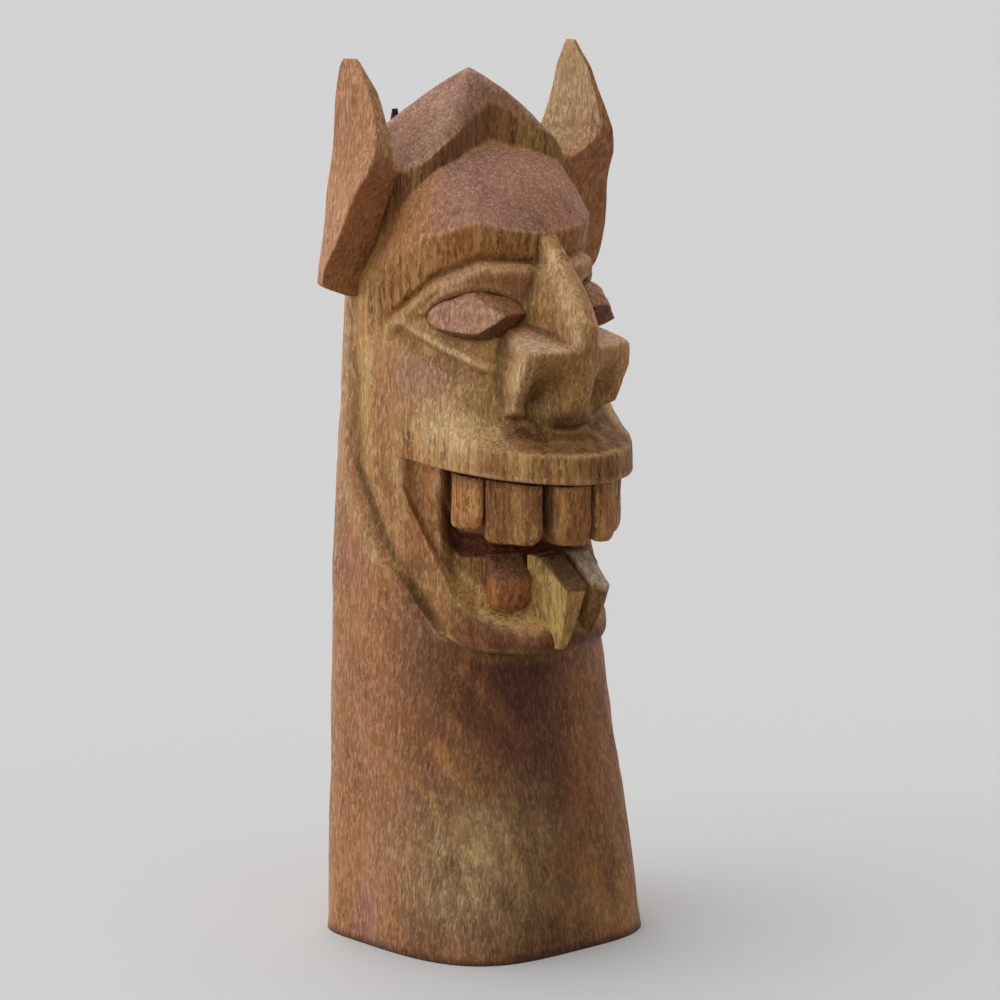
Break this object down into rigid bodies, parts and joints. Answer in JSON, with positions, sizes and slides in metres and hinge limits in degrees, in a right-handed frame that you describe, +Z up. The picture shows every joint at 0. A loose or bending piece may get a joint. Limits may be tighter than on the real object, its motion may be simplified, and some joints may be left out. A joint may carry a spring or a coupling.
{
  "type": "carranca figurehead",
  "caption": "Carved wooden figurehead of a grinning long-eared monster on a thick neck that serves as its stand, with let-in ears, eyes and teeth and a hanging nail at the back.",
  "frame": {"origin": "middle of the flat foot, on the floor", "axes": "+Z up along the neck and the grain; the face looks along -Y; +X is the figure's own left"},
  "size_m": [0.096, 0.084, 0.25],
  "materials": {
    "carved_wood": "waxed, satin to matte",
    "ear_wood": "waxed, satin",
    "eye_wood": "waxed, satin",
    "tooth_wood": "bare to lightly waxed, matte",
    "dark_iron": "blackened, matte"
  },
  "bodies": {
    "root": {"head_block": "carved_wood", "right_ear": "ear_wood", "left_ear": "ear_wood", "right_eye": "eye_wood", "left_eye": "eye_wood", "right_upper_tooth_1": "tooth_wood", "right_upper_tooth_2": "tooth_wood", "right_upper_tooth_3": "tooth_wood", "left_upper_tooth_1": "tooth_wood", "left_upper_tooth_2": "tooth_wood", "left_upper_tooth_3": "tooth_wood", "right_tusk": "tooth_wood", "left_tusk": "tooth_wood", "right_stub": "tooth_wood", "left_stub": "tooth_wood", "hanging_nail": "dark_iron"}
  },
  "joints": []
}
